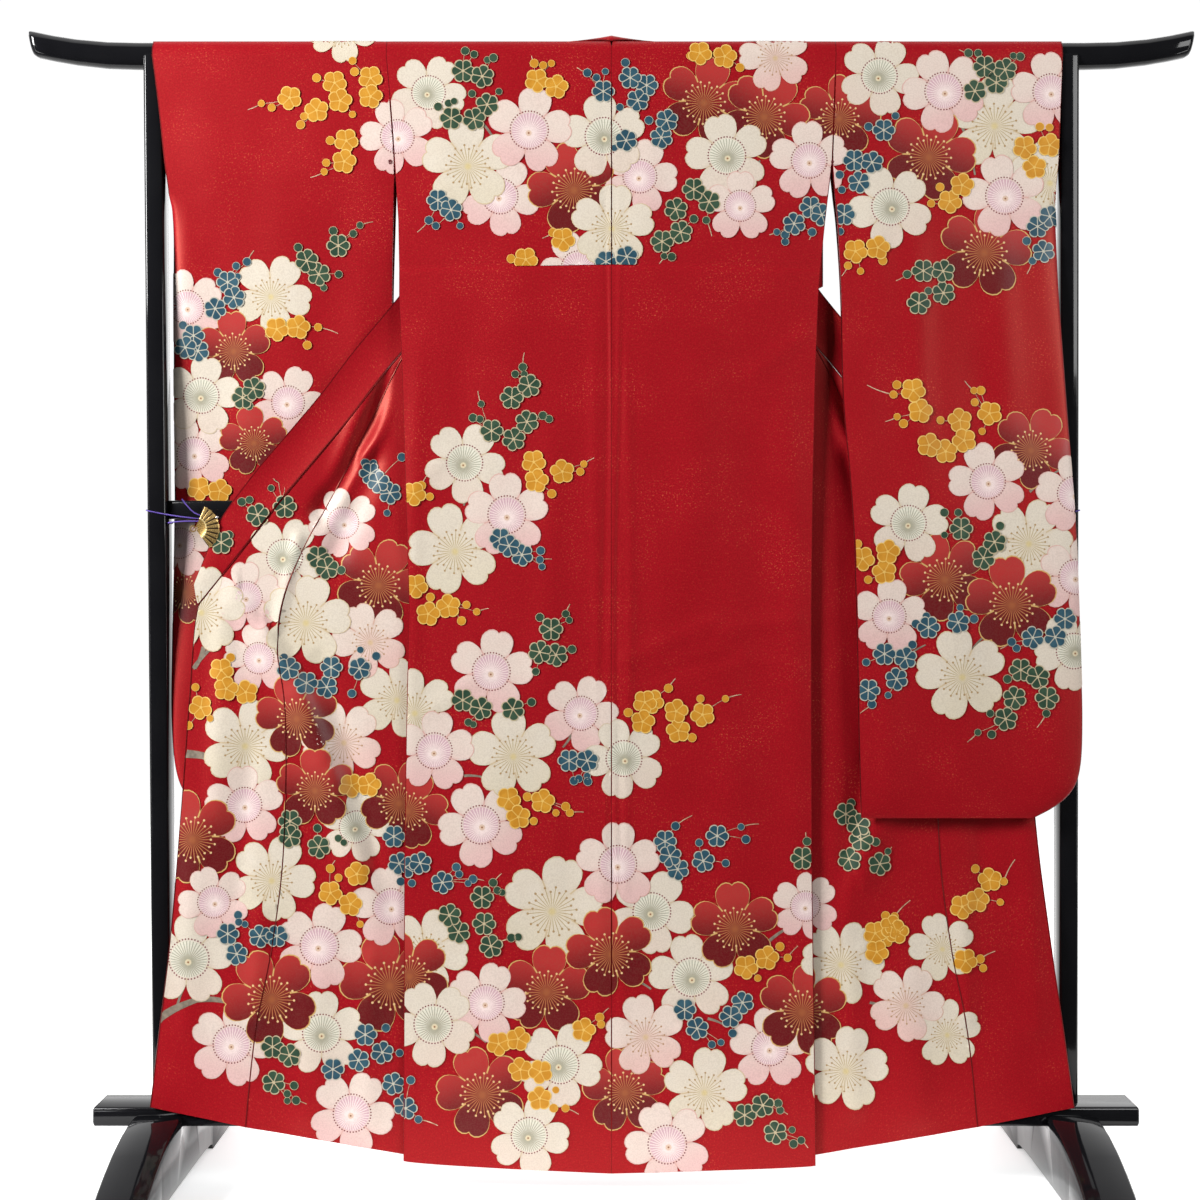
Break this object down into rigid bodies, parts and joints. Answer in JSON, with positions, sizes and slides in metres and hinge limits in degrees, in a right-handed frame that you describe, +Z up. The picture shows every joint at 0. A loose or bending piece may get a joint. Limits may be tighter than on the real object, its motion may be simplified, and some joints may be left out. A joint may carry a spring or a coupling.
{
  "type": "furisode on a kimono stand",
  "caption": "Long-sleeved formal kimono hung open over the top bar of a lacquered stand, fronts drawn out and pinned to the posts, seen from its back.",
  "frame": {"origin": "on the floor, midway between the ends of the top bar and midway between the front and rear tips of the feet", "axes": "+X to the viewer's right along the top bar, +Y away from the viewer (the garment's outer back faces -Y), +Z up"},
  "size_m": [1.699, 0.56, 1.681],
  "materials": {
    "red silk": "glossy figured silk, printed",
    "black lacquer": "high gloss black lacquer",
    "gold plate": "polished gilt",
    "purple cord": "twisted thin cord"
  },
  "bodies": {
    "root": {"body_left": "red silk", "body_right": "red silk", "collar": "red silk", "okumi_left": "red silk", "okumi_right": "red silk", "sleeve_left": "red silk", "sleeve_right": "red silk", "clip_fan_left": "gold plate", "clip_fan_right": "gold plate", "clip_ring_left": "gold plate", "clip_ring_right": "gold plate", "clip_cord_left": "purple cord", "clip_cord_right": "purple cord", "stand_base_board": "black lacquer", "stand_foot_left": "black lacquer", "stand_foot_right": "black lacquer", "stand_mid_bar": "black lacquer", "stand_post_left": "black lacquer", "stand_post_right": "black lacquer", "stand_top_bar": "black lacquer"}
  },
  "joints": []
}
